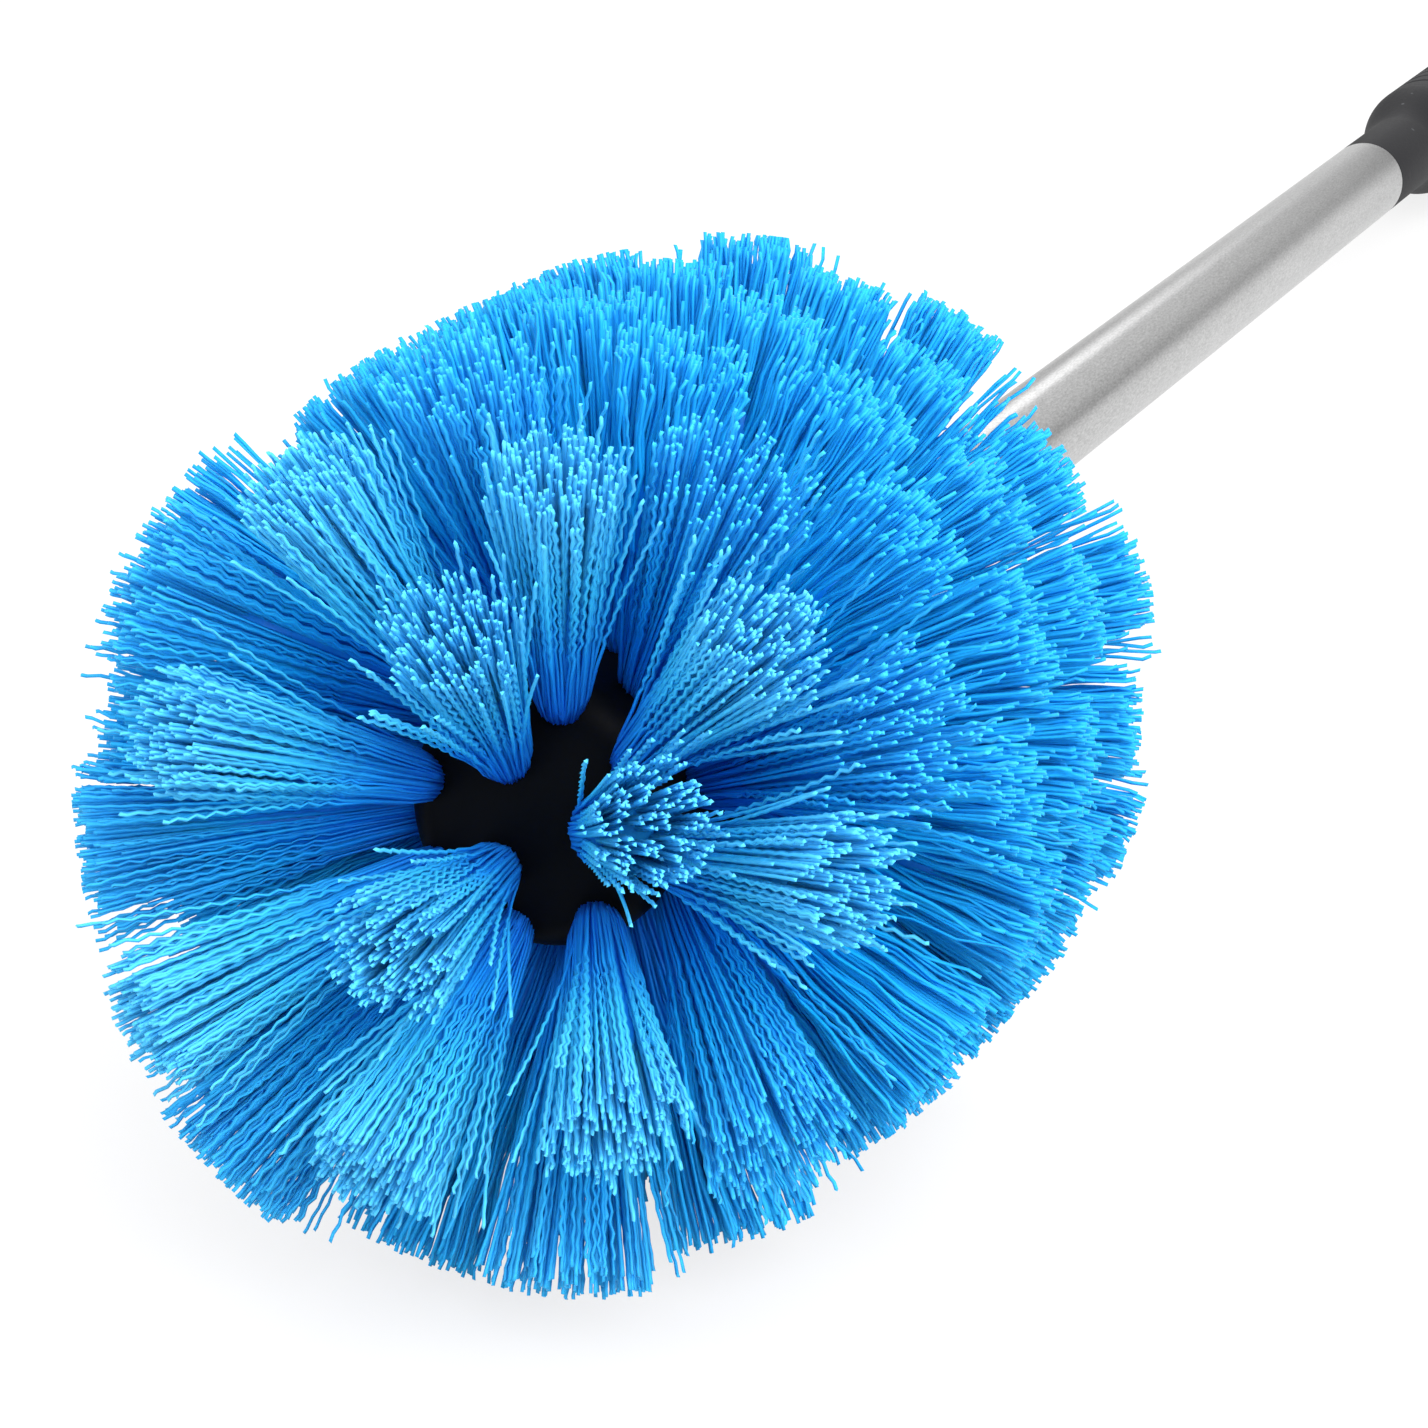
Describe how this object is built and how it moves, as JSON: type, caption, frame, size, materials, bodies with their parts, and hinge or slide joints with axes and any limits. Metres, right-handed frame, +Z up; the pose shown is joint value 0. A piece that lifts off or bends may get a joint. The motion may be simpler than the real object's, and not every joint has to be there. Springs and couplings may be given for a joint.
{
  "type": "bottle brush",
  "caption": "Long-handled round bottle brush: dome-fronted tufted head that screws off a straight aluminium tube with a plastic grip and hanging lug.",
  "frame": {"origin": "on the ground plane, under the middle of the brush as it lies on its rear rows of bristle tips and the grip", "axes": "+X along the brush from its head towards its grip, level; +Y to the side; +Z up. The brush axis lies in the XZ plane and falls towards the grip"},
  "size_m": [0.7544, 0.14, 0.1473],
  "materials": {
    "bristle_blue": "satin, translucent crimped filament",
    "core_black": "moulded, matte",
    "plated_steel": "zinc plated",
    "satin_aluminium": "satin anodised",
    "grip_black": "moulded, matte"
  },
  "bodies": {
    "handle": {"thread_tip": "core_black", "tip_rivet_left": "plated_steel", "tip_rivet_right": "plated_steel", "handle_tube": "satin_aluminium", "grip": "grip_black", "hang_cap": "core_black"},
    "washer": {"thrust_washer": "plated_steel"},
    "head": {"brush_core": "core_black", "face_tuft_1": "bristle_blue", "anchor_staple_1": "plated_steel", "face_tuft_2": "bristle_blue", "anchor_staple_2": "plated_steel", "face_tuft_3": "bristle_blue", "anchor_staple_3": "plated_steel", "edge_tuft_1": "bristle_blue", "anchor_staple_4": "plated_steel", "edge_tuft_2": "bristle_blue", "anchor_staple_5": "plated_steel", "edge_tuft_3": "bristle_blue", "anchor_staple_6": "plated_steel", "edge_tuft_4": "bristle_blue", "anchor_staple_7": "plated_steel", "edge_tuft_5": "bristle_blue", "anchor_staple_8": "plated_steel", "edge_tuft_6": "bristle_blue", "anchor_staple_9": "plated_steel", "edge_tuft_7": "bristle_blue", "anchor_staple_10": "plated_steel", "edge_tuft_8": "bristle_blue", "anchor_staple_11": "plated_steel", "tuft_row_1": "bristle_blue", "tuft_row_2": "bristle_blue", "tuft_row_3": "bristle_blue", "tuft_row_4": "bristle_blue", "tuft_row_5": "bristle_blue", "tuft_row_6": "bristle_blue", "tuft_row_7": "bristle_blue", "rear_collar": "core_black"}
  },
  "joints": [
    {"name": "washer_travel", "type": "slide", "parent": "handle", "child": "washer", "axis": [-0.9957, 0, 0.0924], "range_m": [0, 0.02]},
    {"name": "head_unscrew", "type": "hinge", "parent": "washer", "child": "head", "pos_m": [-0.22894, 0, 0.06777], "axis": [-0.9957, 0, 0.0924], "range_deg": [0, 1440]}
  ],
  "couplings": [
    {"joint": "washer_travel", "follows": "head_unscrew", "m_per_rad": 0.00079577}
  ]
}
